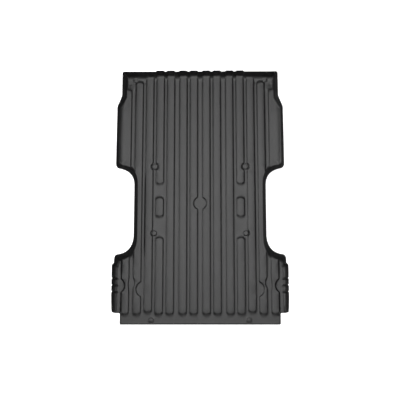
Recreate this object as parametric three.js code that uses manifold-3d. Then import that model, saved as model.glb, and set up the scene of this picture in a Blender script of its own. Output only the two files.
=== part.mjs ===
// Drop-in bed liner for a pickup truck with a long bed: one thermoformed sheet with floor ribs and
// low walls, held to the bed by reclosable fastener pads.
//
// Frame: millimetres, +Z up, +Y towards the cab, +X towards the right-hand side of the truck.
// The origin is on the bed floor, at the middle of the liner's length and width.
import * as THREE from "three";
import Module from "manifold-3d";

const wasm = await Module();
wasm.setup();

// ---------------------------------------------------------------- driving dimensions (mm)

const SHEET = 3; // wall thickness of the formed sheet
const GAP = 0.3; // clearance between pieces that touch
const FILM_THICK = 0.4;
const PAD_THICK = 2.5;
const STANDOFF = FILM_THICK + 2 * PAD_THICK + 3 * GAP; // height of the sheet's underside above the bed
const FLOOR_TOP = STANDOFF + SHEET;
const RIB_HEIGHT = 12;
const RIB_TOP = FLOOR_TOP + RIB_HEIGHT;
const RIM_TOP = 110;

const TAIL_Y = -1261.6; // rearmost edge of the tail apron
const TAIL_HALF_WIDTH = 776.7; // the apron passes between the tailgate pillars
const LIP_RUN = 12; // how far the turned-down edge reaches out past the flat floor
const LIP_FOOT = 0.5; // height of the turned-down edge above the bed
const LIP_END_X = 834; // the turned-down edge fades into the side wall here
const BEYOND_TAIL = 60; // the space inside the walls is drawn this far past the tail
const ABOVE_RIM = 5; // and this far above the rim

const FRONT_Y = 1251; // front wall between its flutes
const FRONT_FOOT_Y = 1232;
const CORNER_X = 781; // side wall beside the front corner
const FRONT_SIDE_X = 825.5; // side wall between the front corner and the wheel house
const ARCH_X = 643.5; // wheel-house wall
const STEP_X = 828; // side wall just behind the wheel house
const REAR_SIDE_X = 848.5; // side wall of the rear zone
const REAR_END_Y = -1151; // rear end of the side zones, at the tailgate pillars

const SIDE_RUN = 7; // plan width of a rib's sloping side
const RAMP_RUN = 34; // plan length of the ramp at a rib's end
const RIB_REAR_Y = -1166; // middle of the ramp at the rear end of the ribs
const PAST_WALL = 1300; // a rib drawn to here runs into the front wall

// ---------------------------------------------------------------- small tools

const point = (x, y) => new THREE.Vector2(x, y);
const mirrored = (points) => points.map((p) => point(-p.x, p.y)).reverse();

// A closed body through matching rings of points, lowest ring first, each ring counter-clockwise
// when it is seen from above. A ring is { z, outline }.
function loft(rings) {
  const size = rings[0].outline.length;
  const vertices = rings.flatMap(({ z, outline }) => outline.flatMap((p) => [p.x, p.y, z]));
  const top = (rings.length - 1) * size;
  const faces = [];
  for (const [a, b, c] of THREE.ShapeUtils.triangulateShape(rings[0].outline, [])) {
    faces.push(a, c, b);
  }
  for (const [a, b, c] of THREE.ShapeUtils.triangulateShape(rings.at(-1).outline, [])) {
    faces.push(top + a, top + b, top + c);
  }
  for (let ring = 0; ring < rings.length - 1; ring += 1) {
    for (let i = 0; i < size; i += 1) {
      const near = ring * size + i;
      const next = ring * size + ((i + 1) % size);
      faces.push(near, next, next + size, near, next + size, near + size);
    }
  }
  return solidOf(vertices, faces);
}

function solidOf(vertices, faces) {
  const mesh = new wasm.Mesh({
    numProp: 3,
    vertProperties: new Float32Array(vertices),
    triVerts: new Uint32Array(faces),
  });
  return new wasm.Manifold(mesh);
}

function geometryOf(solid) {
  const { vertProperties, triVerts } = solid.getMesh();
  return new THREE.BufferGeometry()
    .setAttribute("position", new THREE.BufferAttribute(vertProperties, 3))
    .setIndex(new THREE.BufferAttribute(triVerts, 1));
}

const union = (solids) => solids.reduce((whole, solid) => whole.add(solid));

// Part of an ellipse from one angle to another, in radians, as plain points.
function arcPoints(x, y, radiusX, radiusY, from, to, steps) {
  return new THREE.EllipseCurve(x, y, radiusX, radiusY, from, to).getPoints(steps);
}

// ---------------------------------------------------------------- walls

// Each stretch of wall is a pair of curves, the outer edge of its rim and the inner edge of its foot,
// from the rear of the right-hand side to the middle of the front wall.
const line = (x0, y0, x1, y1) => new THREE.LineCurve(point(x0, y0), point(x1, y1));
const bend = (x0, y0, cx, cy, x1, y1) =>
  new THREE.QuadraticBezierCurve(point(x0, y0), point(cx, cy), point(x1, y1));

// Share of the way from rim to foot at each level, for a straight wall and for one with a wide cove.
const STRAIGHT = [1, 0.94, 0.86, 0.74, 0];
const COVED = [1, 0.82, 0.62, 0.4, 0];
const COVE_LEAN = 0.6; // extra plan thickness at the foot, where the wall leans most
const INNER_LEVELS = [FLOOR_TOP, 14, RIB_TOP, 34, RIM_TOP];
const OUTER_LEVELS = [STANDOFF, 12, RIB_TOP - 2, 33, RIM_TOP];

const REAR_FLUTES = [-821, -886, -949]; // middles of the upright flutes in the rear side wall
const REAR_FLUTE = { half: 11, flat: 4, depth: 7, footDepth: 17 };
const FRONT_FLUTE = { edge: 4, depth: 10.6 };
const REAR_CORNER = 8; // plan width of the chamfer at the rear end of a side wall

// Ribs that reach the front wall and are carried up it as flutes: inner and outer edges.
const FLUTED_RIBS = [
  [25, 100],
  [131, 206],
  [257, 331],
  [362, 438],
];

function stretch(rim, foot, steps, shares = STRAIGHT) {
  const stations = [];
  for (let i = 0; i <= steps; i += 1) {
    stations.push({ rim: rim.getPoint(i / steps), foot: foot.getPoint(i / steps), shares });
  }
  return stations;
}

function rearSideWall() {
  const footX = REAR_SIDE_X - 48;
  const { half, flat, depth, footDepth } = REAR_FLUTE;
  const station = (y, rimInward, footInward) => ({
    rim: point(REAR_SIDE_X - rimInward, y),
    foot: point(footX - footInward, y),
    shares: COVED,
  });
  const rearEnd = line(845, -1140, REAR_SIDE_X, -1018);
  const flutes = [...REAR_FLUTES]
    .reverse()
    .flatMap((middle) => [
      station(middle - half, 0, 0),
      station(middle - flat, depth, footDepth),
      station(middle + flat, depth, footDepth),
      station(middle + half, 0, 0),
    ]);
  return [...stretch(rearEnd, line(footX, -1140, footX, -1018), 1, COVED), ...flutes, station(-713, 0, 0)];
}

function wheelHouseWall() {
  const steps = { corner: 3, arch: 6 };
  return [
    ...stretch(bend(STEP_X + 8, -684, STEP_X, -676, STEP_X, -660), line(799, -694, 797, -676), 2, COVED),
    ...stretch(bend(STEP_X, -640, 826, -597, 800, -593), bend(796, -664, 794, -649, 782, -647), steps.corner),
    ...stretch(bend(780, -588, 650, -568, 643, -410), bend(764, -643, 617, -618, 614, -412), steps.arch),
    ...stretch(line(643, -378, ARCH_X, 70), line(614, -378, 615, 70), 1),
    ...stretch(bend(644, 96, 648, 222, 780, 249), bend(615, 100, 618, 296, 752, 308), steps.arch),
    ...stretch(bend(796, 253, 824, 259, FRONT_SIDE_X, 300), bend(768, 312, 794, 320, 800, 352), steps.corner),
  ];
}

function frontSideWall() {
  const cornerRim = bend(CORNER_X, 1231, CORNER_X, FRONT_Y, 763, FRONT_Y);
  const cornerFoot = bend(737, 1216, 737, FRONT_FOOT_Y, 724, FRONT_FOOT_Y);
  return [
    ...stretch(line(FRONT_SIDE_X, 360, FRONT_SIDE_X, 868), line(785, 380, 785, 868), 1, COVED),
    ...stretch(bend(825, 886, 822, 896, 818, 905), bend(784, 888, 780, 900, 775, 912), 2),
    ...stretch(bend(786, 985, 781, 997, CORNER_X, 1012), bend(744, 995, 737, 1008, 737, 1024), 2),
    ...stretch(cornerRim, cornerFoot, 3),
  ];
}

function frontWall() {
  const station = (x, forward) => ({
    rim: point(x, FRONT_Y + forward),
    foot: point(x, FRONT_FOOT_Y + forward),
    shares: STRAIGHT,
  });
  return [...FLUTED_RIBS].reverse().flatMap(([inner, outer]) => [
    station(outer + FRONT_FLUTE.edge, 0),
    station(outer - FRONT_FLUTE.edge, FRONT_FLUTE.depth),
    station(inner + FRONT_FLUTE.edge, FRONT_FLUTE.depth),
    station(inner - FRONT_FLUTE.edge, 0),
  ]);
}

const STATIONS = [...rearSideWall(), ...wheelHouseWall(), ...frontSideWall(), ...frontWall()];

// The right-hand wall's line at one level, moved outwards by a distance along each station's slope.
function wallLine(level, outwards) {
  return STATIONS.map(({ rim, foot, shares }) => {
    const away = rim.clone().sub(foot).normalize().multiplyScalar(outwards);
    return rim.clone().lerp(foot, shares[level]).add(away);
  });
}

// The block that the sheet's outer faces bound. Its rear is the outline of the flat floor.
function outerBlock() {
  const rim = OUTER_LEVELS.length - 1;
  const endY = REAR_END_Y + LIP_RUN;
  const apronX = TAIL_HALF_WIDTH - LIP_RUN;
  const rear = [point(apronX, TAIL_Y + LIP_RUN), point(apronX, endY)];
  return loft(
    OUTER_LEVELS.map((z, level) => {
      const wall = wallLine(level, level === rim ? 0 : SHEET + COVE_LEAN * (1 - level / rim));
      const side = [...rear, point(wall[0].x - REAR_CORNER, endY), ...wall];
      return { z, outline: [...side, ...mirrored(side)] };
    }),
  );
}

// The space inside the walls, open past the tail.
function cavity() {
  const farY = TAIL_Y - BEYOND_TAIL;
  const levels = INNER_LEVELS.map((z, level) => {
    const wall = wallLine(level, level === INNER_LEVELS.length - 1 ? -SHEET : 0);
    const side = [point(wall[0].x, farY), ...wall];
    return { z, outline: [...side, ...mirrored(side)] };
  });
  const rim = levels.at(-1);
  return loft([...levels, { z: RIM_TOP + ABOVE_RIM, outline: rim.outline }]);
}

// ---------------------------------------------------------------- ribs and other raised shapes

// A raised shape is drawn by its outline half way up its sides. `spread` makes that outline wider,
// and `reach` longer at the ends that are rounded.
function slotOutline({ x, y, ends = [true, true] }, spread, reach) {
  const left = x[0] - spread;
  const right = x[1] + spread;
  const middle = (left + right) / 2;
  const half = (right - left) / 2;
  const depth = Math.min(half, 30);
  const rearY = y[0] - (ends[0] ? reach : 0);
  const frontY = y[1] + (ends[1] ? reach : 0);
  const rear = ends[0]
    ? arcPoints(middle, rearY + depth, half, depth, Math.PI, 2 * Math.PI, 8)
    : [point(left, rearY), point(right, rearY)];
  const front = ends[1]
    ? arcPoints(middle, frontY - depth, half, depth, 0, Math.PI, 8)
    : [point(right, frontY), point(left, frontY)];
  return [...rear, ...front];
}

function discOutline({ x, y, radius }, spread) {
  return arcPoints(x, y, radius + spread, radius + spread, 0, 2 * Math.PI, 24).slice(0, -1);
}

// A frustum whose sides pass through the drawn outline half way between floor and rib top.
function frustum(outlineAt, low, high) {
  const half = FLOOR_TOP + RIB_HEIGHT / 2;
  return loft([low, high].map((z) => ({ z, outline: outlineAt((half - z) / RIB_HEIGHT) })));
}

const SINK = 1; // raised shapes start this far inside the floor, and hollows this far under it

function raised(spec) {
  return frustum((t) => slotOutline(spec, SIDE_RUN * t, RAMP_RUN * t), FLOOR_TOP - SINK, RIB_TOP);
}

// The hollow under a raised shape, one sheet thickness inside it.
function hollow(spec) {
  const sideInset = SHEET / Math.sin(Math.atan2(RIB_HEIGHT, SIDE_RUN));
  const rampInset = SHEET / Math.sin(Math.atan2(RIB_HEIGHT, RAMP_RUN));
  return frustum(
    (t) => slotOutline(spec, SIDE_RUN * t - sideInset, RAMP_RUN * t - rampInset),
    STANDOFF - SINK,
    RIB_TOP - SHEET,
  );
}

// A round recess cut down through a rib to floor level, and the same cut in the hollow below it.
function recess(spec) {
  return frustum((t) => discOutline(spec, -SIDE_RUN * t), FLOOR_TOP, RIB_TOP + SINK);
}

function recessBelow(spec) {
  const inset = SHEET / Math.sin(Math.atan2(RIB_HEIGHT, SIDE_RUN));
  return frustum((t) => discOutline(spec, inset - SIDE_RUN * t), STANDOFF - 2 * SINK, RIB_TOP);
}

const cutBy = (solid, cuts) => cuts.reduce((left, cut) => left.subtract(cut), solid);

function boss({ x, y, radius, top, height }) {
  return loft([
    { z: FLOOR_TOP - SINK, outline: discOutline({ x, y, radius }, 0) },
    { z: FLOOR_TOP + height, outline: discOutline({ x, y, radius: top }, 0) },
  ]);
}

function bossHollow({ x, y, radius, top, height }) {
  return loft([
    { z: STANDOFF - SINK, outline: discOutline({ x, y, radius }, -SHEET) },
    { z: STANDOFF + height, outline: discOutline({ x, y, radius: top }, -SHEET) },
  ]);
}

// Shapes of the right-hand side; every one has a mirror image on the left.
const CENTRE_RECESS = { x: 0, y: -79, radius: 64 };
const FRONT_BOLT = { x: 450, y: 292, radius: 38 };
const REAR_BOLT = { x: 450, y: -377, radius: 34 };
const INNER_SCALLOP = { x: 545, y: -922, radius: 77 };
const MIDDLE_SCALLOP = { x: 715, y: -861, radius: 82 };
const SHALLOW_SCALLOP = { x: 486, y: -877, radius: 211 };
const OUTER_SCALLOP = { x: 803, y: -887, radius: 73 };

const INTO_FRONT = [true, false]; // only the rear end is rounded, and the front end runs into a wall
const INTO_REAR = [false, true];
const RIBS = [
  { x: [25, 100], y: [RIB_REAR_Y, PAST_WALL], ends: INTO_FRONT, recesses: [CENTRE_RECESS] },
  { x: [131, 206], y: [RIB_REAR_Y, PAST_WALL], ends: INTO_FRONT },
  { x: [257, 331], y: [RIB_REAR_Y, PAST_WALL], ends: INTO_FRONT },
  { x: [362, 438], y: [114, PAST_WALL], ends: INTO_FRONT, recesses: [FRONT_BOLT] },
  { x: [362, 438], y: [-214, -18] },
  { x: [362, 438], y: [RIB_REAR_Y, -416], recesses: [REAR_BOLT] },
  { x: [468, 543], y: [RIB_REAR_Y + 20, PAST_WALL], ends: INTO_FRONT, recesses: [FRONT_BOLT, REAR_BOLT] },
  { x: [575, 650], y: [RIB_REAR_Y, 1177], recesses: [INNER_SCALLOP, MIDDLE_SCALLOP] },
  { x: [691, 764.5], y: [RIB_REAR_Y, -560], ends: INTO_FRONT, recesses: [SHALLOW_SCALLOP, OUTER_SCALLOP] },
  { x: [691, 960], y: [240, 1108], ends: INTO_REAR },
];
const BOSSES = [
  { x: 450, y: 292, radius: 31, top: 24, height: 10 },
  { x: 450, y: -377, radius: 28, top: 21, height: 10 },
  { x: 472, y: -1218, radius: 25, top: 18, height: 7 },
  { x: 657, y: 1193, radius: 27, top: 18, height: 7 },
];

// ---------------------------------------------------------------- turned-down edge

// The section of the edge as distance out past the flat floor, and height.
function lipSection() {
  const drop = FLOOR_TOP - LIP_FOOT;
  const inner = arcPoints(0, LIP_FOOT, LIP_RUN - SHEET, drop - SHEET, 0, Math.PI / 2, 5).reverse();
  const outer = arcPoints(0, LIP_FOOT, LIP_RUN, drop, 0, Math.PI / 2, 5);
  return [point(-2, FLOOR_TOP), point(-2, STANDOFF), ...inner, ...outer];
}

// The edge runs round the rear end of both side zones and the apron. At each corner the section is
// carried along the mitre.
function turnedDownEdge() {
  const endY = REAR_END_Y + LIP_RUN;
  const apronX = TAIL_HALF_WIDTH - LIP_RUN;
  const corners = [
    { at: point(-LIP_END_X, endY), out: point(0, -1) },
    { at: point(-apronX, endY), out: point(-1, -1) },
    { at: point(-apronX, TAIL_Y + LIP_RUN), out: point(-1, -1) },
    { at: point(apronX, TAIL_Y + LIP_RUN), out: point(1, -1) },
    { at: point(apronX, endY), out: point(1, -1) },
    { at: point(LIP_END_X, endY), out: point(0, -1) },
  ];
  const section = lipSection();
  const size = section.length;
  const vertices = corners.flatMap(({ at, out }) =>
    section.flatMap((s) => [at.x + out.x * s.x, at.y + out.y * s.x, s.y]),
  );
  const faces = [];
  for (let corner = 0; corner < corners.length - 1; corner += 1) {
    for (let i = 0; i < size; i += 1) {
      const near = corner * size + i;
      const next = corner * size + ((i + 1) % size);
      faces.push(near, near + size, next + size, near, next + size, next);
    }
  }
  const last = (corners.length - 1) * size;
  for (const [a, b, c] of THREE.ShapeUtils.triangulateShape(section, [])) {
    faces.push(a, b, c, last + a, last + c, last + b);
  }
  return solidOf(vertices, faces);
}

// ---------------------------------------------------------------- liner

function mirrorImage(spec) {
  const x = Array.isArray(spec.x) ? [-spec.x[1], -spec.x[0]] : -spec.x;
  return { ...spec, x, recesses: (spec.recesses ?? []).map(mirrorImage) };
}

function linerSheet() {
  const block = outerBlock();
  const ribs = RIBS.flatMap((spec) => [spec, mirrorImage(spec)]);
  const bosses = BOSSES.flatMap((spec) => [spec, mirrorImage(spec)]);
  const above = union(ribs.map((rib) => cutBy(raised(rib), (rib.recesses ?? []).map(recess))))
    .add(union(bosses.map(boss)))
    .intersect(block);
  const below = union(ribs.map((rib) => cutBy(hollow(rib), (rib.recesses ?? []).map(recessBelow))))
    .add(union(bosses.map(bossHollow)));
  return block.subtract(cavity()).add(above).add(turnedDownEdge()).subtract(below);
}

// ---------------------------------------------------------------- fastener pads

const PAD_SIZE = { across: 25, along: 75, corner: 3 };
const INNER_PAD_X = 231.5; // in the wide valley between the second and third ribs
const OUTER_PAD_X = 670.5; // in the valley outside the sixth rib
const PAD_SPOTS = {
  front_inner: { x: INNER_PAD_X, y: 1100 },
  front_middle: { x: INNER_PAD_X, y: 370 },
  rear_middle: { x: INNER_PAD_X, y: -370 },
  rear_inner: { x: INNER_PAD_X, y: -1100 },
  front_outer: { x: OUTER_PAD_X, y: 760 },
  rear_outer: { x: OUTER_PAD_X, y: -1040 },
};

function padGeometry(thickness) {
  const { across, along, corner } = PAD_SIZE;
  const shape = new THREE.Shape();
  shape.absarc(across / 2 - corner, along / 2 - corner, corner, 0, Math.PI / 2);
  shape.absarc(corner - across / 2, along / 2 - corner, corner, Math.PI / 2, Math.PI);
  shape.absarc(corner - across / 2, corner - along / 2, corner, Math.PI, 1.5 * Math.PI);
  shape.absarc(across / 2 - corner, corner - along / 2, corner, 1.5 * Math.PI, 2 * Math.PI);
  return new THREE.ExtrudeGeometry(shape, { depth: thickness, bevelEnabled: false, curveSegments: 2 });
}

// ---------------------------------------------------------------- materials and assembly

const linerPolymer = new THREE.MeshStandardMaterial({ color: 0x2b2b2d, roughness: 0.62, metalness: 0 });
const fastenerPlastic = new THREE.MeshStandardMaterial({ color: 0x161616, roughness: 0.55, metalness: 0 });
const releaseFilm = new THREE.MeshStandardMaterial({ color: 0xd9d4c4, roughness: 0.35, metalness: 0 });

function piece(name, geometry, material, x = 0, y = 0, z = 0) {
  const mesh = new THREE.Mesh(geometry, material);
  mesh.name = name;
  mesh.position.set(x, y, z);
  return mesh;
}

const bedLiner = new THREE.Group();
bedLiner.add(piece("liner", geometryOf(linerSheet()), linerPolymer));
const padLayers = [
  { name: "release_film", thickness: FILM_THICK, z: 0, material: releaseFilm },
  { name: "bed_pad", thickness: PAD_THICK, z: FILM_THICK + GAP, material: fastenerPlastic },
  { name: "liner_pad", thickness: PAD_THICK, z: STANDOFF - GAP - PAD_THICK, material: fastenerPlastic },
];
for (const [spot, { x, y }] of Object.entries(PAD_SPOTS)) {
  for (const [side, across] of Object.entries({ left: -x, right: x })) {
    for (const { name, thickness, z, material } of padLayers) {
      bedLiner.add(piece(`${name}_${spot}_${side}`, padGeometry(thickness), material, across, y, z));
    }
  }
}

export default bedLiner;
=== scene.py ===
"""Looks of the truck bed liner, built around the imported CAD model.

The liner is one formed sheet. Its floor is a height field, and a band of stations round its edge carries
the sheet up the walls, or down over the tail edge. The fastener pads under it are plates with rows of
stems. Shapes are worked out in millimetres, in the frame's axes, and become metres when a mesh is written.
"""
import math
from collections import namedtuple

import bmesh
import bpy
import numpy as np
from mathutils import Matrix, Vector
from mathutils.geometry import delaunay_2d_cdt


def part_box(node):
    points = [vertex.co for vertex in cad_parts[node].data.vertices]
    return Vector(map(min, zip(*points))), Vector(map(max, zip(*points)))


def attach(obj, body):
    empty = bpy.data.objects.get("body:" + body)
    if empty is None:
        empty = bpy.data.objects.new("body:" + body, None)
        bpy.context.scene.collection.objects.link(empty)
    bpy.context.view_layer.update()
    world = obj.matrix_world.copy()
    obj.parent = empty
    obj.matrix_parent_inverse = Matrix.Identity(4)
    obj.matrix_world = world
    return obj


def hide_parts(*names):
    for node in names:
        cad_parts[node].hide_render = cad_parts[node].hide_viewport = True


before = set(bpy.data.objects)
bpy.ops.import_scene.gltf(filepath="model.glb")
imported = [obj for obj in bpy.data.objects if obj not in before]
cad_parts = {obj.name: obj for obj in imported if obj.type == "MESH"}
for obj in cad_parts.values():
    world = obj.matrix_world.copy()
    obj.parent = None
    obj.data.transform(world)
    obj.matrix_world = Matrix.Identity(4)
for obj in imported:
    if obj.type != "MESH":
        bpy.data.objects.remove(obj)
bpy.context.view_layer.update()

MM = 0.001

# ------------------------------------------------------------------ dimensions (mm)

liner_low, liner_high = (np.array(corner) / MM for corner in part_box("liner"))
pad_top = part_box("liner_pad_front_inner_left")[1].z / MM

GAP = 0.3  # clearance between the sheet and the pads below it
SHEET = 3.0
UNDERSIDE = pad_top + GAP
FLOOR = UNDERSIDE + SHEET
RIB_HEIGHT = 12.0
FLUTE_DEPTH = 10.6  # how far a flute stands forward of the front wall
RIB_TOP = FLOOR + RIB_HEIGHT
RIM = liner_high[2]
EDGE_TOP = 0.9  # height of the turned-down edge's upper face

TAIL_Y = liner_low[1]
FRONT_Y = liner_high[1] - FLUTE_DEPTH
FRONT_FOOT_Y = 1223.0
FRONT_SEAM_Y = 1172.0  # where the fillet below the front wall runs out
FRONT_FILLET = 30.0  # how high that fillet climbs
TAIL_HALF = 776.7  # the tail apron's half width
REAR_END_Y = -1151.0  # rear end of the side zones
CORNER_X = 781.0  # side wall beside the front corner
FRONT_SIDE_X = 825.5  # side wall ahead of the wheel house
STEP_X = 828.0  # side wall just behind the wheel house
REAR_SIDE_X = liner_high[0]

SIDE_RUN = 8.5  # half the plan width of a rib's rounded side
RAMP_RUN = 24.0  # half the plan length of the ramp at a rib's end
SHELF_RAMP = 44.0  # the same at the front end of the shelf
END_DEPTH = 30.0  # length of a rib's elliptic end
RIB_REAR_Y = -1166.0
BEYOND = 1400.0  # an end here is past the front wall
LINES_END = 1300.0  # a mesh line along such a rib stops here

# A round place in the floor's plan. The recesses cut into the ribs.
Disc = namedtuple("Disc", "x y radius")
CENTRE_RECESS = Disc(0, -79, 64)
FRONT_BOLT = Disc(450, 292, 38)
REAR_BOLT = Disc(450, -377, 34)
INNER_SCALLOP = Disc(545, -922, 77)
MIDDLE_SCALLOP = Disc(715, -861, 82)
SHALLOW_SCALLOP = Disc(486, -877, 211)
OUTER_SCALLOP = Disc(803, -887, 73)
BOLT_RECESSES = [FRONT_BOLT, REAR_BOLT]
SCALLOPS = [INNER_SCALLOP, MIDDLE_SCALLOP, SHALLOW_SCALLOP, OUTER_SCALLOP]
RECESSES = [CENTRE_RECESS, *BOLT_RECESSES, *SCALLOPS]

# A raised strip of the floor: its two sides, its two ends, half the length of the ramps at those ends, and
# the recesses cut in it. The last one is the wide shelf ahead of the wheel house.
Rib = namedtuple("Rib", "inner outer rear front ramp recesses")
RIBS = [
    Rib(25, 100, RIB_REAR_Y, BEYOND, RAMP_RUN, [CENTRE_RECESS]),
    Rib(131, 206, RIB_REAR_Y, BEYOND, RAMP_RUN, []),
    Rib(257, 331, RIB_REAR_Y, BEYOND, RAMP_RUN, []),
    Rib(362, 438, 114, BEYOND, RAMP_RUN, [FRONT_BOLT]),
    Rib(362, 438, -214, -18, RAMP_RUN, []),
    Rib(362, 438, RIB_REAR_Y, -416, RAMP_RUN, [REAR_BOLT]),
    Rib(468, 543, RIB_REAR_Y + 20, BEYOND, RAMP_RUN, BOLT_RECESSES),
    Rib(575, 650, RIB_REAR_Y, 1177, RAMP_RUN, [INNER_SCALLOP, MIDDLE_SCALLOP]),
    Rib(691, 764.5, RIB_REAR_Y, -300, RAMP_RUN, [SHALLOW_SCALLOP, OUTER_SCALLOP]),
    Rib(691, 960, -100, 1108, SHELF_RAMP, []),
]
FLUTED = RIBS[:4]  # ribs that are carried up the front wall as flutes
COLUMN_RIBS = RIBS[:8]  # ribs inboard of the front wall's round corners

# A round boss, with its radii at base and top.
Boss = namedtuple("Boss", "x y base top height")
BOSSES = [
    Boss(450, 292, 31, 24, 10),
    Boss(450, -377, 28, 21, 10),
    Boss(472, -1218, 25, 18, 7),
    Boss(657, 1193, 27, 18, 7),
]
BOSS_EASE = 1.5  # extra plan width of a boss's rounded side
DIMPLE = Disc(712, 1145, 10)
DIMPLE_DEPTH = 2.5

# ------------------------------------------------------------------ the floor as a height field

TINY = 1e-7  # keeps a division from failing at the middle of a rib


def ease(t):
    """0 below -1, 1 above 1, and a smooth rise in between."""
    t = np.clip((t + 1) / 2, 0, 1)
    return t**3 * (t * (6 * t - 15) + 10)


def slope_run(facing_end, ramp):
    """Half the plan width of a rib's slope, which is gentler where it faces the rib's end."""
    return SIDE_RUN + (ramp - SIDE_RUN) * facing_end


def rib_mask(x, y, rib):
    """How far inside a rib each point is, from 0 to 1, with elliptic ends that ramp down gently."""
    half = (rib.outer - rib.inner) / 2
    across = (x - (rib.inner + rib.outer) / 2) / half
    past_end = np.maximum(rib.rear + END_DEPTH - y, 0) - np.maximum(y - rib.front + END_DEPTH, 0)
    past_end = past_end / END_DEPTH
    lean_x, lean_y = across / half, past_end / END_DEPTH
    lean = np.hypot(lean_x, lean_y) + TINY
    inside = (1 - across**2 - past_end**2) / (2 * lean)
    return ease(inside / slope_run((lean_y / lean) ** 2, rib.ramp))


def recess_mask(x, y, recess):
    """0 inside a recess and 1 outside it, with a smooth rise between."""
    return ease((np.hypot(x - recess.x, y - recess.y) - recess.radius) / SIDE_RUN)


def boss_slope(boss):
    """Middle radius of a boss's rounded side, and half its plan width."""
    return (boss.base + boss.top) / 2, (boss.base - boss.top) / 2 + BOSS_EASE


def floor_height(x, y):
    """Height of the sheet's upper face over its floor. The left-hand side mirrors the right."""
    x = np.abs(x)
    raised = np.zeros_like(x)
    for rib in RIBS:
        mask = rib_mask(x, y, rib)
        for recess in rib.recesses:
            mask = mask * recess_mask(x, y, recess)
        raised = np.maximum(raised, mask)
    height = FLOOR + RIB_HEIGHT * raised
    for boss in BOSSES:
        middle, half = boss_slope(boss)
        height = height + boss.height * ease((middle - np.hypot(x - boss.x, y - boss.y)) / half)
    dish = np.hypot(x - DIMPLE.x, y - DIMPLE.y) / DIMPLE.radius
    return height - DIMPLE_DEPTH * np.clip(1 - dish**2, 0, 1) ** 2


# ------------------------------------------------------------------ lines that the floor's mesh follows

LEVELS = [-1, -0.6, -0.22, 0.22, 0.6, 1]  # where a slope's mesh lines run, from its foot to its top
END_STEPS = 18
LINE_STEP = 40  # spacing of the points on a rib's straight side
RECESS_STEPS, BOSS_STEPS, DIMPLE_STEPS = 48, 36, 20
DIMPLE_LINES = (1, 0.6, 0.2)  # radii of the lines round the dimple, as shares of its own


def rib_column(rib, level):
    """The two x places where a rib's straight sides reach one level of the slope."""
    half = (rib.outer - rib.inner) / 2
    share = level * SIDE_RUN / half
    reach = half * (math.sqrt(share**2 + 1) - share)
    middle = (rib.inner + rib.outer) / 2
    return middle - reach, middle + reach


def rib_end(rib, level, end, side):
    """Points of one level round a rib's end. `side` is -1 at the rear and 1 at the front."""
    half, middle = (rib.outer - rib.inner) / 2, (rib.inner + rib.outer) / 2
    centre = end - side * END_DEPTH
    points = []
    for i in range(END_STEPS + 1):
        angle = math.pi * i / END_STEPS
        lean_x, lean_y = math.cos(angle) / half, math.sin(angle) / END_DEPTH
        lean = math.hypot(lean_x, lean_y)
        share = lean * level * slope_run((lean_y / lean) ** 2, rib.ramp)
        reach = math.sqrt(share**2 + 1) - share
        x = middle + half * reach * math.cos(angle)
        points.append((x, centre + side * END_DEPTH * reach * math.sin(angle)))
    return points


def straight(x, y0, y1, step):
    """Points about a step apart along a line that runs front to back."""
    count = max(1, round(abs(y1 - y0) / step))
    return [(x, y0 + (y1 - y0) * i / count) for i in range(count + 1)]


def circle(disc, radius, steps):
    """Points round a disc's middle, with the first one repeated at the end."""
    turn = [2 * math.pi * i / steps for i in range(steps + 1)]
    return [(disc.x + radius * math.cos(a), disc.y + radius * math.sin(a)) for a in turn]


def feature_lines():
    """Lines along every slope of the right-hand half."""
    lines = []
    for rib in RIBS:
        rear, front = rib.rear + END_DEPTH, min(rib.front - END_DEPTH, LINES_END)
        for level in LEVELS:
            for x in rib_column(rib, level):
                lines.append(straight(x, rear, front, LINE_STEP))
            lines.append(rib_end(rib, level, rib.rear, -1))
            if rib.front < BEYOND:
                lines.append(rib_end(rib, level, rib.front, 1))
    for recess in RECESSES:
        for level in LEVELS:
            lines.append(circle(recess, recess.radius + level * SIDE_RUN, RECESS_STEPS))
    for boss in BOSSES:
        middle, half = boss_slope(boss)
        for level in LEVELS:
            lines.append(circle(boss, middle + level * half, BOSS_STEPS))
    for share in DIMPLE_LINES:
        lines.append(circle(DIMPLE, share * DIMPLE.radius, DIMPLE_STEPS))
    return lines


PATCH_PITCH = 3.0  # spacing of the extra points where a rib's side runs into a recess
PATCH_REACH = 14.0  # how far from that corner they go


def corner_patches():
    """Extra points on the right-hand half, where a rib's straight side runs out into a recess."""
    steps = np.arange(-PATCH_REACH, PATCH_REACH + 0.1, PATCH_PITCH)
    across, ahead = np.meshgrid(steps, steps)
    patches = []
    for rib in RIBS:
        for recess in rib.recesses:
            for side in (rib.inner, rib.outer):
                reach = recess.radius**2 - (side - recess.x) ** 2
                if reach <= 0:
                    continue
                for y in (recess.y - math.sqrt(reach), recess.y + math.sqrt(reach)):
                    patches.append(np.stack([side + across.ravel(), y + ahead.ravel()], 1))
    return np.concatenate(patches)


# ------------------------------------------------------------------ stations round the edge

# A station is one section through the edge of the sheet: the rim, the corner that the wall makes with
# the floor, and the seam where the section hands over to the floor. `base` is the floor's level there,
# `rise` is how high the fillet climbs the wall, and `roll` is the width of a turned-down edge. Stretches
# of edge are given below by plan curves: rim, foot and seam for a wall, or rim and seam where it is
# turned down.
Station = namedtuple("Station", "rim foot seam height base rise roll")

FILLET_RISE = 12  # how high the fillet climbs a wall that says nothing else


def between(ends, t):
    """The value a share t of the way between two ends."""
    return ends[0] * (1 - t) + ends[1] * t


def along(points, t):
    """A point of the Bezier curve with two or three control points."""
    points = [np.array(point, float) for point in points]
    if len(points) == 2:
        return between(points, t)
    return points[0] * (1 - t) ** 2 + points[1] * 2 * t * (1 - t) + points[2] * t**2


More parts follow.
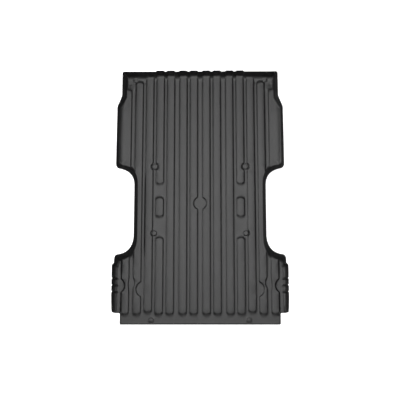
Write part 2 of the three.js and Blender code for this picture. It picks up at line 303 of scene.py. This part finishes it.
def wall_station(outer, foot, seam, height=RIM, base=FLOOR, rise=FILLET_RISE):
    """One section of wall. `outer` is on its outer face, so the sheet's own rim is a thickness in."""
    outer, foot, seam = np.array(outer, float), np.array(foot, float), np.array(seam, float)
    inward = (foot - outer) / np.linalg.norm(foot - outer)
    return Station(outer + SHEET * inward, foot, seam, height, base, rise, 0)


def wall(rim, foot, seam, steps, base=(FLOOR, FLOOR), rise=(FILLET_RISE, FILLET_RISE), height=lambda t: RIM):
    """Stations along one stretch of wall. `base` and `rise` are given at its two ends."""
    stations = []
    for i in range(steps + 1):
        t = i / steps
        places = [along(curve, t) for curve in (rim, foot, seam)]
        stations.append(wall_station(*places, height(t), between(base, t), between(rise, t)))
    return stations


def turned_down(edge, seam, steps, roll):
    """Stations along one stretch of the turned-down edge. `roll` is its width at each end."""
    stations = []
    for i in range(steps + 1):
        t = i / steps
        stations.append(Station(along(edge, t), None, along(seam, t), EDGE_TOP, FLOOR, 0, between(roll, t)))
    return stations


APRON_SEAM_X = 734  # where the turned-down edge of the tail apron hands over to the floor
APRON_SEAM_Y = -1226


def tail_stations():
    """From the middle of the tail round the apron's corner to the rear end of the side zone."""
    tail = turned_down(
        [(0, TAIL_Y), (762, TAIL_Y)],
        [(0, APRON_SEAM_Y), (722, APRON_SEAM_Y)],
        steps=60,
        roll=(18, 18),
    )
    corner = turned_down(
        [(765, TAIL_Y), (TAIL_HALF, TAIL_Y), (TAIL_HALF, -1243)],
        [(725, APRON_SEAM_Y), (APRON_SEAM_X, APRON_SEAM_Y), (APRON_SEAM_X, -1218)],
        steps=5,
        roll=(18, 36),
    )
    side = turned_down(
        [(TAIL_HALF, -1236), (TAIL_HALF, -1166)],
        [(APRON_SEAM_X, -1213), (APRON_SEAM_X, -1150)],
        steps=12,
        roll=(38, 38),
    )
    inner_corner = turned_down(
        [(TAIL_HALF, -1160), (TAIL_HALF, REAR_END_Y), (786, REAR_END_Y)],
        [(APRON_SEAM_X, -1144), (736, -1124), (752, -1121)],
        steps=5,
        roll=(34, 20),
    )
    side_zone = turned_down(
        [(792, REAR_END_Y), (826, REAR_END_Y)],
        [(757, -1120), (783, -1118)],
        steps=6,
        roll=(18, 16),
    )
    return tail + corner + side + inner_corner + side_zone


REAR_FOOT_X = REAR_SIDE_X - 15
REAR_SEAM_X = REAR_SIDE_X - 66
COVE = 68  # how high the rear side wall's wide cove climbs
REAR_CLIMB = (FLOOR + 6, 90)  # height of the rim at the two ends of the rear corner
REAR_CLIMB_POWER = 1.3
REAR_RIM_DROP = 20  # how far the rim is still below its full height after that corner
NICKS = [-949, -886, -821]  # middles of the upright flutes in the rear side wall
NICK_HALF = 13.0  # half the width of such a flute
NICK_DEPTH = 7.0  # its depth at the rim
NICK_FOOT_DEPTH = 20.0  # its depth at the wall's foot
NICK_EASE = 2.2  # 2 would round it right to its middle, and more leaves a flat there
NICK_STEP = 3.25


def climbing_rim(t):
    """Height of the rim where it rises out of the turned-down edge."""
    return between(REAR_CLIMB, math.sin(t * math.pi / 2) ** REAR_CLIMB_POWER)


def rear_wall_stations():
    """The rear side wall, which rises out of the turned-down edge at its rear corner."""
    corner = wall(
        [(830, REAR_END_Y), (843.5, REAR_END_Y), (844, -1136)],
        [(810, -1134), (828, -1130), (830, -1122)],
        [(784, -1117), (REAR_SEAM_X, -1114), (REAR_SEAM_X, -1108)],
        steps=6,
        rise=(4, 45),
        height=climbing_rim,
    )
    rear = wall(
        [(844.2, -1131), (845.5, -1090)],
        [(830.2, -1117), (REAR_FOOT_X - 2, -1086)],
        [(REAR_SEAM_X, -1103), (REAR_SEAM_X, -1080)],
        steps=5,
        rise=(45, COVE),
        height=lambda t: RIM - REAR_RIM_DROP * (1 - t) ** 2,
    )
    middle = wall(
        [(846, -1070), (REAR_SIDE_X, -1018), (REAR_SIDE_X, -968)],
        [(REAR_FOOT_X - 2, -1066), (REAR_FOOT_X, -1018), (REAR_FOOT_X, -968)],
        [(REAR_SEAM_X, -1066), (REAR_SEAM_X, -966)],
        steps=5,
        rise=(COVE, COVE),
    )
    fluted = []
    for y in np.arange(-962, -806, NICK_STEP):
        inset = max(float(ease(NICK_EASE * (1 - abs(y - nick) / NICK_HALF) - 1)) for nick in NICKS)
        rim_x, corner_x = REAR_SIDE_X - NICK_DEPTH * inset, REAR_FOOT_X - NICK_FOOT_DEPTH * inset
        fluted.append(wall_station((rim_x, y), (corner_x, y), (REAR_SEAM_X, y), rise=COVE))
    front = wall(
        [(REAR_SIDE_X, -800), (REAR_SIDE_X, -716)],
        [(REAR_FOOT_X, -800), (REAR_FOOT_X, -722)],
        [(REAR_SEAM_X, -800), (REAR_SEAM_X, -738)],
        steps=4,
        rise=(COVE, COVE),
    )
    return corner + rear + middle + fluted + front


ARCH_SEAM_X = 594  # seam beside the straight middle of the wheel house
ARCH_STEPS = 60  # stations round each of the arch's two bends
SHELF_FOOT_X = FRONT_SIDE_X - 17  # beside the shelf
SHELF_SEAM_X = 706
CORNER_FOOT_X = 737  # beside the front corner
CORNER_SEAM_X = 719


def wheel_house_stations():
    """The step behind the wheel house, and the wall that bends inwards round it."""
    step_in = wall(
        [(REAR_SIDE_X, -710), (REAR_SIDE_X, -690), (838, -684)],
        [(832, -716), (830, -702), (816, -694)],
        [(784, -732), (783, -722), (780, -714)],
        steps=5,
        rise=(COVE, 50),
    )
    step_ahead = wall(
        [(836, -682), (STEP_X, -678), (STEP_X, -662)],
        [(814, -692), (808, -686), (805, -680)],
        [(779, -712), (777, -708), (775, -704)],
        steps=5,
        rise=(48, 30),
    )
    rear_corner = wall(
        [(STEP_X, -650), (827, -600), (800, -593)],
        [(803, -674), (798, -652), (782, -647)],
        [(773, -698), (768, -674), (757, -668)],
        steps=10,
        rise=(26, 14),
    )
    rear_arch = wall(
        [(794, -592), (650, -572), (643, -410)],
        [(776, -646), (617, -622), (614, -412)],
        [(751, -667), (596, -644), (ARCH_SEAM_X, -414)],
        steps=ARCH_STEPS,
        rise=(14, 12),
    )
    side = wall(
        [(643, -396), (643.5, 82)],
        [(614, -396), (615, 82)],
        [(ARCH_SEAM_X, -396), (ARCH_SEAM_X, 82)],
        steps=18,
    )
    front_arch = wall(
        [(644, 96), (648, 222), (788, 250)],
        [(615, 100), (618, 298), (758, 309)],
        [(ARCH_SEAM_X, 104), (596, 318), (739, 330)],
        steps=ARCH_STEPS,
        rise=(12, 14),
    )
    front_corner = wall(
        [(794, 252), (825, 259), (FRONT_SIDE_X, 300)],
        [(765, 310), (806, 318), (808.5, 352)],
        [(734, 332), (710, 346), (SHELF_SEAM_X, 384)],
        steps=12,
        base=(FLOOR, RIB_TOP),
        rise=(14, 30),
    )
    return step_in + step_ahead + rear_corner + rear_arch + side + front_arch + front_corner


def front_side_stations():
    """The side wall beside the shelf, its slant inwards, and the front corner."""
    shelf = wall(
        [(FRONT_SIDE_X, 312), (FRONT_SIDE_X, 864)],
        [(SHELF_FOOT_X, 366), (SHELF_FOOT_X, 862)],
        [(SHELF_SEAM_X, 400), (SHELF_SEAM_X, 850)],
        steps=22,
        base=(RIB_TOP, RIB_TOP),
        rise=(34, 34),
    )
    shelf_end = wall(
        [(FRONT_SIDE_X, 872), (825, 890), (817, 907)],
        [(SHELF_FOOT_X, 870), (806, 890), (794, 903)],
        [(SHELF_SEAM_X, 858), (SHELF_SEAM_X, 880), (708, 896)],
        steps=5,
        base=(RIB_TOP, 18),
        rise=(32, 24),
    )
    slant = wall(
        [(814, 914), (788, 978)],
        [(790, 910), (751, 980)],
        [(708, 902), (714, 965)],
        steps=6,
        base=(18, 12),
        rise=(22, 14),
    )
    slant_end = wall(
        [(786, 984), (CORNER_X, 996), (CORNER_X, 1012)],
        [(747, 986), (CORNER_FOOT_X, 1000), (CORNER_FOOT_X, 1020)],
        [(715, 972), (CORNER_SEAM_X, 990), (CORNER_SEAM_X, 1012)],
        steps=5,
        base=(12, FLOOR),
        rise=(14, 13),
    )
    side = wall(
        [(CORNER_X, 1024), (CORNER_X, 1222)],
        [(CORNER_FOOT_X, 1028), (CORNER_FOOT_X, 1206)],
        [(CORNER_SEAM_X, 1024), (CORNER_SEAM_X, 1168)],
        steps=22,
        rise=(13, 13),
    )
    corner = wall(
        [(CORNER_X, 1227), (CORNER_X, FRONT_Y), (764, FRONT_Y)],
        [(CORNER_FOOT_X, 1211), (CORNER_FOOT_X, FRONT_FOOT_Y), (722, FRONT_FOOT_Y)],
        [(CORNER_SEAM_X, 1170), (716, FRONT_SEAM_Y), (706, FRONT_SEAM_Y)],
        steps=7,
        rise=(13, FRONT_FILLET),
    )
    return shelf + shelf_end + slant + slant_end + side + corner


FLUTE_EASE = 5  # plan width of a flute's rounded edge


def flute_share(x):
    """How far a place along the front wall is inside a flute, from 0 to 1."""
    return max(
        float(ease((x - rib.inner) / FLUTE_EASE) * ease((rib.outer - x) / FLUTE_EASE)) for rib in FLUTED
    )


def front_stations(columns):
    """One station at each of the floor's own lines, so that the ribs run into the wall cleanly."""
    stations = []
    for x in columns:
        out = FLUTE_DEPTH * flute_share(x)
        rim, foot, seam = (x, FRONT_Y + out), (x, FRONT_FOOT_Y + out), (x, FRONT_SEAM_Y)
        stations.append(wall_station(rim, foot, seam, rise=FRONT_FILLET))
    return stations


WALL_ROWS = 8
FILLET_ROWS = 8
ROWS = WALL_ROWS + FILLET_ROWS + 1
EDGE_ROUND = 12  # plan width of the tight outer round of the turned-down edge
EDGE_GENTLE = 0.3  # share of the turned-down edge's drop that is spread over its whole width
EDGE_CURVE = 2.2  # power of that gentle part
EDGE_CROWD = 1.8  # crowds the rows of a turned-down edge towards its rim
FILLET_REACH = 0.92  # how far the fillet runs from the foot towards the seam


def turned_down_section(station):
    """A section that rolls over the edge: gently over its whole width, then tightly at its rim."""
    rows = []
    for i in range(ROWS):
        place = between((station.rim, station.seam), (i / (ROWS - 1)) ** EDGE_CROWD)
        away = np.linalg.norm(place - station.rim)
        wide = max(1 - away / station.roll, 0)
        sharp = max(1 - away / EDGE_ROUND, 0)
        drop = EDGE_GENTLE * wide**EDGE_CURVE + (1 - EDGE_GENTLE) * (1 - math.sqrt(1 - sharp**2))
        rows.append((*place, -(FLOOR - EDGE_TOP) * drop, None))
    return rows


def wall_section(station):
    """A section up a wall, with a fillet between the wall and the floor."""
    base, fillet_top = station.base, station.base + station.rise
    start = between((station.foot, station.rim), station.rise / (station.height - base))
    end = between((station.foot, station.seam), FILLET_REACH)
    rows = []
    for i in range(WALL_ROWS):
        t = i / WALL_ROWS
        rows.append((*between((station.rim, start), t), between((station.height, fillet_top), t), base))
    for i in range(FILLET_ROWS):
        t = i / FILLET_ROWS
        rows.append((*along([start, station.foot, end], t), base + station.rise * (1 - t) ** 2, base))
    return [*rows, (*station.seam, base, base)]


def section(station):
    """Points of one station from rim to seam: x, y, height, and the floor level it stands on, if any."""
    return turned_down_section(station) if station.foot is None else wall_section(station)


JOIN_POWER = 6  # the higher this is, the tighter the round where a wall meets a rib


def section_heights(sections):
    """Where a wall and a rib meet, the higher one wins and the join between them is rounded."""
    x = np.array([[row[0] for row in rows] for rows in sections])
    y = np.array([[row[1] for row in rows] for rows in sections])
    own = np.array([[row[2] for row in rows] for rows in sections])
    turned = np.array([[row[3] is None for row in rows] for rows in sections])
    base = np.array([[row[3] or 0.0 for row in rows] for rows in sections])
    floor = floor_height(x, y)
    over_own, over_floor = (np.maximum(z - base, 0) ** JOIN_POWER for z in (own, floor))
    joined = base + (over_own + over_floor) ** (1 / JOIN_POWER)
    return x, y, np.where(turned, floor + own, joined)


# ------------------------------------------------------------------ the floor's points


def inside_ring(x, y, ring):
    """Even-odd test of many points against a closed ring."""
    crossings = np.zeros(len(x), int)
    for (x0, y0), (x1, y1) in zip(ring, np.roll(ring, -1, axis=0)):
        if y0 == y1:
            continue
        level_with = (y >= min(y0, y1)) & (y < max(y0, y1))
        crossings += level_with & (x < x0 + (y - y0) * (x1 - x0) / (y1 - y0))
    return crossings % 2 == 1


NO_LENGTH = 1e-9  # keeps a division from failing where two of the ring's points fall together


def near_ring(x, y, ring, reach):
    """True for points closer to the ring than reach."""
    close = np.zeros(len(x), bool)
    for (x0, y0), (x1, y1) in zip(ring, np.roll(ring, -1, axis=0)):
        dx, dy = x1 - x0, y1 - y0
        t = np.clip(((x - x0) * dx + (y - y0) * dy) / (dx * dx + dy * dy + NO_LENGTH), 0, 1)
        close |= np.hypot(x - x0 - t * dx, y - y0 - t * dy) < reach
    return close


RING_GAP = 1.2  # mesh points nearer to the ring than this are left out


def floor_points(ring):
    """Points inside the ring, and the edges that keep the mesh lines along the slopes unbroken."""
    lines = [np.array(line) * [side, 1] for line in feature_lines() for side in (1, -1)]
    points = np.concatenate(lines)
    order = np.concatenate([np.arange(len(line)) for line in lines])
    keep = inside_ring(points[:, 0], points[:, 1], ring)
    keep &= ~near_ring(points[:, 0], points[:, 1], ring, RING_GAP)
    place = np.cumsum(keep) - 1
    edges = [(place[i - 1], place[i]) for i in np.flatnonzero(keep & (order > 0)) if keep[i - 1]]
    extra = np.concatenate([corner_patches() * [side, 1] for side in (1, -1)])
    clear = inside_ring(extra[:, 0], extra[:, 1], ring)
    clear &= ~near_ring(extra[:, 0], extra[:, 1], ring, PATCH_PITCH)
    return np.concatenate([points[keep], extra[clear]]), edges


# ------------------------------------------------------------------ the sheet's mesh


def mirrored(station):
    """The same station on the left-hand side."""
    flip = np.array([-1.0, 1.0])
    return station._replace(
        rim=station.rim * flip,
        foot=None if station.foot is None else station.foot * flip,
        seam=station.seam * flip,
    )


FRONT_CORNER_X = 698  # outer end of the front wall's straight stretch
COLUMN_STEP = 6  # widest gap between two stations of the front wall
ROUNDING = 1e-6  # a gap this little too wide, as a share of the step, isn't split


def rib_columns():
    """The x places of the slope lines along the ribs, in order."""
    return sorted({x for rib in COLUMN_RIBS for level in LEVELS for x in rib_column(rib, level)})


def spread(lines, low, high, step):
    """The lines between low and high, with more added so that no gap is wider than step.

    A line within 1 mm of either end gives way to that end.
    """
    kept = [low] + [v for v in lines if low + 1 < v < high - 1] + [high]
    made = []
    for a, b in zip(kept, kept[1:]):
        count = max(1, math.ceil((b - a) / step - ROUNDING))
        made += [a + (b - a) * i / count for i in range(count)]
    return made + [high]


def all_stations():
    """Every station, counter-clockwise from the middle of the tail."""
    columns = spread(rib_columns(), 0, FRONT_CORNER_X, COLUMN_STEP)
    right = tail_stations() + rear_wall_stations() + wheel_house_stations() + front_side_stations()
    right += front_stations(sorted(columns, reverse=True))
    left = [mirrored(station) for station in reversed(right[1:-1])]
    return right + left


def band_faces(count):
    """The quads between neighbouring stations, all the way round."""
    faces = []
    for i in range(count):
        near, far = i * ROWS, (i + 1) % count * ROWS
        for row in range(ROWS - 1):
            faces.append((near + row, far + row, far + row + 1, near + row + 1))
    return faces


INSIDE_RING = 1  # delaunay_2d_cdt's code for triangles inside the given edges only
SAME_POINT = 1e-4  # points nearer to each other than this become one


def triangulate_floor(ring):
    """Points and triangles of the floor, and for each point the station whose seam it is, if any."""
    count = len(ring)
    inner, inner_edges = floor_points(ring)
    flat = [Vector(point) for point in np.concatenate([ring, inner])]
    edges = [(i, (i + 1) % count) for i in range(count)]
    edges += [(a + count, b + count) for a, b in inner_edges]
    points, _, triangles, origins, _, _ = delaunay_2d_cdt(flat, edges, [], INSIDE_RING, SAME_POINT)
    seams = [next((source for source in sources if source < count), None) for sources in origins]
    return np.array([tuple(point) for point in points]), triangles, seams


def sheet_mesh():
    """The sheet's upper face: the band of stations round its edge, and the floor inside the band."""
    stations = all_stations()
    x, y, z = section_heights([section(station) for station in stations])
    vertices = np.stack([x, y, z], 2).reshape(-1, 3)
    points, triangles, seams = triangulate_floor(np.stack([x[:, -1], y[:, -1]], 1))
    inner = [i for i, seam in enumerate(seams) if seam is None]
    index = {i: seam * ROWS + ROWS - 1 for i, seam in enumerate(seams) if seam is not None}
    index |= {i: len(vertices) + order for order, i in enumerate(inner)}
    inner_x, inner_y = points[inner, 0], points[inner, 1]
    inner_points = np.stack([inner_x, inner_y, floor_height(inner_x, inner_y)], 1)
    vertices = np.concatenate([vertices, inner_points]) * MM
    faces = band_faces(len(stations)) + [tuple(index[i] for i in triangle) for triangle in triangles]
    mesh = bpy.data.meshes.new("liner_sheet")
    mesh.from_pydata(vertices.tolist(), [], faces)
    mesh.validate()
    return mesh


def add_object(name, data):
    """A new object in the scene."""
    piece = bpy.data.objects.new(name, data)
    bpy.context.scene.collection.objects.link(piece)
    return piece


def build_sheet(material):
    """The liner: its upper face with the normals up, thickened downwards."""
    piece = add_object("liner_sheet", sheet_mesh())
    bm = bmesh.new()
    bm.from_mesh(piece.data)
    bmesh.ops.recalc_face_normals(bm, faces=bm.faces)
    if sum(face.normal.z for face in bm.faces) < 0:
        bmesh.ops.reverse_faces(bm, faces=bm.faces)
    bm.to_mesh(piece.data)
    bm.free()
    piece.data.shade_smooth()
    thick = piece.modifiers.new("sheet", "SOLIDIFY")
    thick.thickness = SHEET * MM
    thick.offset = -1
    piece.data.materials.append(material)
    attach(piece, "liner_side")
    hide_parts("liner")


# ------------------------------------------------------------------ fastener pads

PAD_CORNER = 2.5  # plan radius of a pad's corners
CORNER_STEPS = 4
PLATE = 0.8  # thickness of the plate that the stems stand on
PLATE_ROUND = 0.15  # round-over of the plate's edges
FILM_ROUND = 0.08
SHARP_ANGLE = math.radians(40)
STEM_PITCH = 3.0
STEM_SIDES = 8
# A mushroom-headed stem, as radius and height over the plate's outer face.
STEM_PROFILE = [(0.42, 0.7), (0.4, 1.8), (0.92, 2.0), (0.86, 2.2), (0.5, 2.5)]


def plate_ring(width, length, inset, z):
    """One level of a rectangular plate with round corners, centred on the origin."""
    radius = PAD_CORNER - inset
    ring = []
    for corner, (side_x, side_y) in enumerate(((1, -1), (1, 1), (-1, 1), (-1, -1))):
        middle_x, middle_y = side_x * (width / 2 - PAD_CORNER), side_y * (length / 2 - PAD_CORNER)
        for step in range(CORNER_STEPS + 1):
            angle = math.radians(90 * (corner - 1 + step / CORNER_STEPS))
            ring.append((middle_x + radius * math.cos(angle), middle_y + radius * math.sin(angle), z))
    return ring


def join_rings(rings):
    """Closed body through a stack of rings: its vertices and its faces, for rings from the bottom up."""
    size = len(rings[0])
    vertices = [point for ring in rings for point in ring]
    faces = [tuple(reversed(range(size)))]
    for level in range(len(rings) - 1):
        for i in range(size):
            near, far = level * size + i, level * size + (i + 1) % size
            faces.append((near, far, far + size, near + size))
    faces.append(tuple(range(len(vertices) - size, len(vertices))))
    return vertices, faces


def stem(x, y):
    """One mushroom-headed stem of a pad."""
    turns = [2 * math.pi * i / STEM_SIDES for i in range(STEM_SIDES)]
    rings = [[(x + r * math.cos(a), y + r * math.sin(a), z) for a in turns] for r, z in STEM_PROFILE]
    return join_rings(rings)


def plate(width, length, thickness, round_over):
    """A flat plate with round corners and rounded edges."""
    insets = [(round_over, 0), (0, round_over), (0, thickness - round_over), (round_over, thickness)]
    return join_rings([plate_ring(width, length, inset, z) for inset, z in insets])


def solids_mesh(name, solids, flip):
    """One mesh of several closed bodies, in metres. `flip` turns it upside down."""
    vertices, faces = [], []
    for points, sides in solids:
        first = len(vertices)
        vertices += [(x * MM, (-y if flip else y) * MM, (-z if flip else z) * MM) for x, y, z in points]
        faces += [tuple(first + i for i in side) for side in sides]
    mesh = bpy.data.meshes.new(name)
    mesh.from_pydata(vertices, [], faces)
    mesh.shade_smooth()
    mesh.set_sharp_from_angle(angle=SHARP_ANGLE)
    return mesh


def pad_solids(width, length):
    """A pad's plate and the stems that stand on it, centred on the origin."""
    columns = int((width - STEM_PITCH) / STEM_PITCH)
    rows = int((length - STEM_PITCH) / STEM_PITCH)
    solids = [plate(width, length, PLATE, PLATE_ROUND)]
    for i in range(columns):
        for j in range(rows):
            solids.append(stem((i - (columns - 1) / 2) * STEM_PITCH, (j - (rows - 1) / 2) * STEM_PITCH))
    return solids


def place_on_nodes(mesh, prefix, body, at_top):
    """A copy of the mesh for every CAD node whose name starts with the prefix."""
    for node in sorted(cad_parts):
        if not node.startswith(prefix):
            continue
        low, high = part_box(node)
        piece = add_object(node + "_detail", mesh)
        piece.location = ((low.x + high.x) / 2, (low.y + high.y) / 2, high.z if at_top else low.z)
        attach(piece, body)
        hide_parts(node)


def build_pads(plastic, film):
    """The pads on both sides and the films on the bed's side. All pads are of one size."""
    low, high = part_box("bed_pad_front_inner_left")
    width, length = (high.x - low.x) / MM, (high.y - low.y) / MM
    film_low, film_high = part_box("release_film_front_inner_left")
    film_solid = plate(width, length, (film_high.z - film_low.z) / MM, FILM_ROUND)
    solids = pad_solids(width, length)
    bed_pad = solids_mesh("bed_pad", solids, False)
    liner_pad = solids_mesh("liner_pad", solids, True)
    film_mesh = solids_mesh("release_film", [film_solid], False)
    for mesh, material in ((bed_pad, plastic), (liner_pad, plastic), (film_mesh, film)):
        mesh.materials.append(material)
    place_on_nodes(bed_pad, "bed_pad_", "bed_side", False)
    place_on_nodes(liner_pad, "liner_pad_", "liner_side", True)
    place_on_nodes(film_mesh, "release_film_", "bed_side", False)


# ------------------------------------------------------------------ materials


class Nodes:
    """A short way to make and join a material's nodes.

    Every pattern is fixed to its object, in metres, so a scale counts a pattern's features per metre.
    """

    def __init__(self, name, specular):
        self.material = bpy.data.materials.new(name)
        self.material.use_nodes = True
        self.tree = self.material.node_tree
        self.shader = self.tree.nodes["Principled BSDF"]
        self.shader.inputs["Specular IOR Level"].default_value = specular
        self.place = self.tree.nodes.new("ShaderNodeTexCoord").outputs["Object"]

    def node(self, kind, inputs, **settings):
        """A new node with its settings made and its inputs filled."""
        node = self.tree.nodes.new(kind)
        for key, value in settings.items():
            setattr(node, key, value)
        for key, value in inputs.items():
            self.set(node.inputs[key], value)
        return node

    def set(self, socket, value):
        """Join another node's output to an input, or give the input a plain value."""
        if isinstance(value, bpy.types.NodeSocket):
            self.tree.links.new(value, socket)
        else:
            socket.default_value = value

    def noise(self, scale, detail, stretch=(1, 1, 1)):
        """Clouds around 0.5. A stretch below 1 draws them out along that axis."""
        mapping = self.node("ShaderNodeMapping", {"Vector": self.place, "Scale": stretch})
        inputs = {"Vector": mapping.outputs["Vector"], "Scale": scale, "Detail": detail}
        return self.node("ShaderNodeTexNoise", inputs).outputs["Fac"]

    def cells(self, scale):
        """Distance to the middle of the nearest cell."""
        inputs = {"Vector": self.place, "Scale": scale}
        return self.node("ShaderNodeTexVoronoi", inputs).outputs["Distance"]

    def height(self):
        """Height over the object's origin."""
        return self.node("ShaderNodeSeparateXYZ", {"Vector": self.place}).outputs["Z"]

    def remap(self, value, low, high, to_low=0.0, to_high=1.0):
        """Carry one range over to another, smoothly and no further than its ends."""
        inputs = {"Value": value, "From Min": low, "From Max": high, "To Min": to_low, "To Max": to_high}
        return self.node("ShaderNodeMapRange", inputs, interpolation_type="SMOOTHSTEP").outputs["Result"]

    def maths(self, operation, first, second):
        return self.node("ShaderNodeMath", {0: first, 1: second}, operation=operation).outputs["Value"]

    def blend(self, factor, first, second):
        """Colour between two, where `first` may be the result of an earlier blend."""
        mix = self.node("ShaderNodeMix", {}, data_type="RGBA")
        sockets = {socket.identifier: socket for socket in [*mix.inputs, *mix.outputs]}
        self.set(sockets["Factor_Float"], factor)
        self.set(sockets["A_Color"], (*first, 1) if isinstance(first, tuple) else first)
        self.set(sockets["B_Color"], (*second, 1))
        return sockets["Result_Color"]

    def bump(self, height, distance, strength, under=None):
        """A normal bent by a pattern, on top of another bump if one is given."""
        inputs = {"Height": height, "Distance": distance, "Strength": strength}
        if under is not None:
            inputs["Normal"] = under
        return self.node("ShaderNodeBump", inputs).outputs["Normal"]

    def finish(self, color, roughness, normal):
        """Join the three results to the shader and hand back the material."""
        self.set(self.shader.inputs["Base Color"], color)
        self.set(self.shader.inputs["Roughness"], roughness)
        self.set(self.shader.inputs["Normal"], normal)
        return self.material


WORN_RIBS = (0.0165, 0.0208)  # heights over which a rib's side passes into its worn top, in metres
WORN_RIM = (0.104, 0.1095)  # the same at the rim


def liner_polymer():
    """Matt black thermoplastic with a fine leather-like grain, scuffed paler on the rib tops and rim."""
    n = Nodes("liner_polymer", 0.5)
    broad = n.noise(4.5, 3)
    streaks = n.noise(24, 5, (1, 0.09, 1))
    speckle = n.noise(420, 2)
    on_ribs = n.remap(n.height(), *WORN_RIBS)
    on_rim = n.remap(n.height(), *WORN_RIM)
    rubbed = n.maths("MULTIPLY", n.maths("MAXIMUM", on_ribs, on_rim), n.remap(streaks, 0.5, 0.72))
    color = n.blend(n.remap(broad, 0.3, 0.7), (0.0045, 0.0045, 0.0047), (0.0085, 0.0085, 0.0087))
    color = n.blend(n.remap(speckle, 0.5, 0.75, 0, 0.35), color, (0.018, 0.018, 0.018))
    color = n.blend(n.maths("MULTIPLY", rubbed, 0.6), color, (0.026, 0.026, 0.0255))
    roughness = n.maths("ADD", n.remap(broad, 0.3, 0.7, 0.39, 0.43), n.maths("MULTIPLY", rubbed, 0.05))
    ripple = n.bump(n.noise(16, 2), 0.0008, 0.12)
    grain = n.bump(n.cells(520), 0.0004, 0.45, ripple)
    return n.finish(color, roughness, grain)


def fastener_plastic():
    """Smooth black plastic of the snap fastener pads."""
    n = Nodes("fastener_plastic", 0.5)
    clouds = n.noise(90, 3)
    color = n.blend(n.remap(clouds, 0.3, 0.7), (0.014, 0.014, 0.0145), (0.026, 0.026, 0.027))
    roughness = n.remap(n.noise(260, 2), 0.3, 0.7, 0.3, 0.42)
    return n.finish(color, roughness, n.bump(n.noise(1500, 2), 0.00004, 0.3))


def release_film():
    """Cream release paper with a slight gloss, faint fibres and shallow creases."""
    n = Nodes("release_film", 0.5)
    fibres = n.noise(900, 3, (1, 0.2, 1))
    clouds = n.noise(45, 2)
    color = n.blend(n.remap(clouds, 0.3, 0.7), (0.7, 0.665, 0.57), (0.76, 0.735, 0.65))
    color = n.blend(n.remap(fibres, 0.55, 0.8, 0.0, 0.35), color, (0.6, 0.55, 0.45))
    roughness = n.remap(fibres, 0.3, 0.7, 0.24, 0.36)
    creases = n.bump(n.noise(70, 3), 0.0003, 0.35)
    return n.finish(color, roughness, n.bump(fibres, 0.00003, 0.3, creases))


def floor_white():
    """Studio floor, bright enough to stay white where the part shades it."""
    n = Nodes("floor_white", 0.2)
    n.shader.inputs["Emission Color"].default_value = (1, 1, 1, 1)
    n.shader.inputs["Emission Strength"].default_value = 0.85
    color = n.blend(n.remap(n.noise(3, 3), 0.3, 0.7), (0.88, 0.88, 0.88), (0.9, 0.9, 0.9))
    roughness = n.remap(n.noise(40, 2), 0.3, 0.7, 0.85, 0.9)
    return n.finish(color, roughness, n.bump(n.noise(300, 2), 0.0001, 0.1))


# ------------------------------------------------------------------ floor, camera and lights (metres)

FLOOR_REACH = 60  # far enough for the floor to meet the pale part of the world in a low view
TARGET = Vector((-0.0013, -0.044, 0.0))
DISTANCE = 7.18
CAMERA_TILT = math.radians(10)  # how far the camera leans back from looking straight down
CAMERA_SIDE = 0.07
LENS = 65.25  # mm, on a sensor 36 mm wide


def build_floor():
    """The studio floor. It isn't part of the model."""
    reach = FLOOR_REACH
    mesh = bpy.data.meshes.new("floor")
    corners = [(-reach, -reach, 0), (reach, -reach, 0), (reach, reach, 0), (-reach, reach, 0)]
    mesh.from_pydata(corners, [], [(0, 1, 2, 3)])
    mesh.materials.append(floor_white())
    floor = add_object("floor", mesh)


def build_camera():
    """The photo's view: from high above the tail, looking almost straight down."""
    data = bpy.data.cameras.new("camera")
    data.lens = LENS
    data.sensor_width = 36
    data.clip_end = 100
    camera = add_object("camera", data)
    camera.location = TARGET + DISTANCE * Vector((0, -math.sin(CAMERA_TILT), math.cos(CAMERA_TILT)))
    camera.location.x += CAMERA_SIDE
    away = (camera.location - TARGET).normalized()
    right = Vector((0, 1, 0)).cross(away).normalized()
    camera.rotation_euler = Matrix((right, away.cross(right), away)).transposed().to_euler()
    return camera


def softbox(name, place, aim, width, height, power):
    """A rectangular light at a place, turned to face its aim."""
    data = bpy.data.lights.new(name, "AREA")
    data.shape = "RECTANGLE"
    data.size, data.size_y = width, height
    data.energy = power
    light = add_object(name, data)
    light.location = place
    light.rotation_euler = (Vector(place) - Vector(aim)).to_track_quat("Z", "Y").to_euler()


# How far up the world fades, as the upward part of a direction, and its strength before and after.
WORLD_FADE = {"From Min": 0.1, "From Max": 0.35, "To Min": 0.9, "To Max": 0.03}


def studio_world():
    """Pale walls behind the part that fade to a dim ceiling, so that the soft boxes set its shading."""
    world = bpy.data.worlds.new("world")
    world.use_nodes = True
    tree = world.node_tree
    direction = tree.nodes.new("ShaderNodeTexCoord")
    split = tree.nodes.new("ShaderNodeSeparateXYZ")
    fade = tree.nodes.new("ShaderNodeMapRange")
    fade.interpolation_type = "SMOOTHSTEP"
    for name, value in WORLD_FADE.items():
        fade.inputs[name].default_value = value
    background = tree.nodes["Background"]
    background.inputs["Color"].default_value = (1, 1, 1, 1)
    tree.links.new(direction.outputs["Generated"], split.inputs["Vector"])
    tree.links.new(split.outputs["Z"], fade.inputs["Value"])
    tree.links.new(fade.outputs["Result"], background.inputs["Strength"])
    return world


# ------------------------------------------------------------------ the scene

build_sheet(liner_polymer())
build_pads(fastener_plastic(), release_film())
build_floor()
bpy.context.scene.camera = build_camera()
softbox("key_light", (-0.4, 5.4, 8.6), (0, 0, 0), 5, 5, 60)
softbox("top_light", (0, 1.2, 7.2), (0, 1.2, 0), 5.5, 6, 400)
softbox("left_light", (-6.5, 0.6, 4), (0, 0, 0), 3, 3, 250)
softbox("right_light", (6.5, -0.6, 4), (0, 0, 0), 3, 3, 75)
softbox("rear_light", (0.4, -5, 6.8), (0, 0, 0), 4, 2.5, 80)
bpy.context.scene.world = studio_world()
bpy.context.scene.view_settings.view_transform = "Standard"
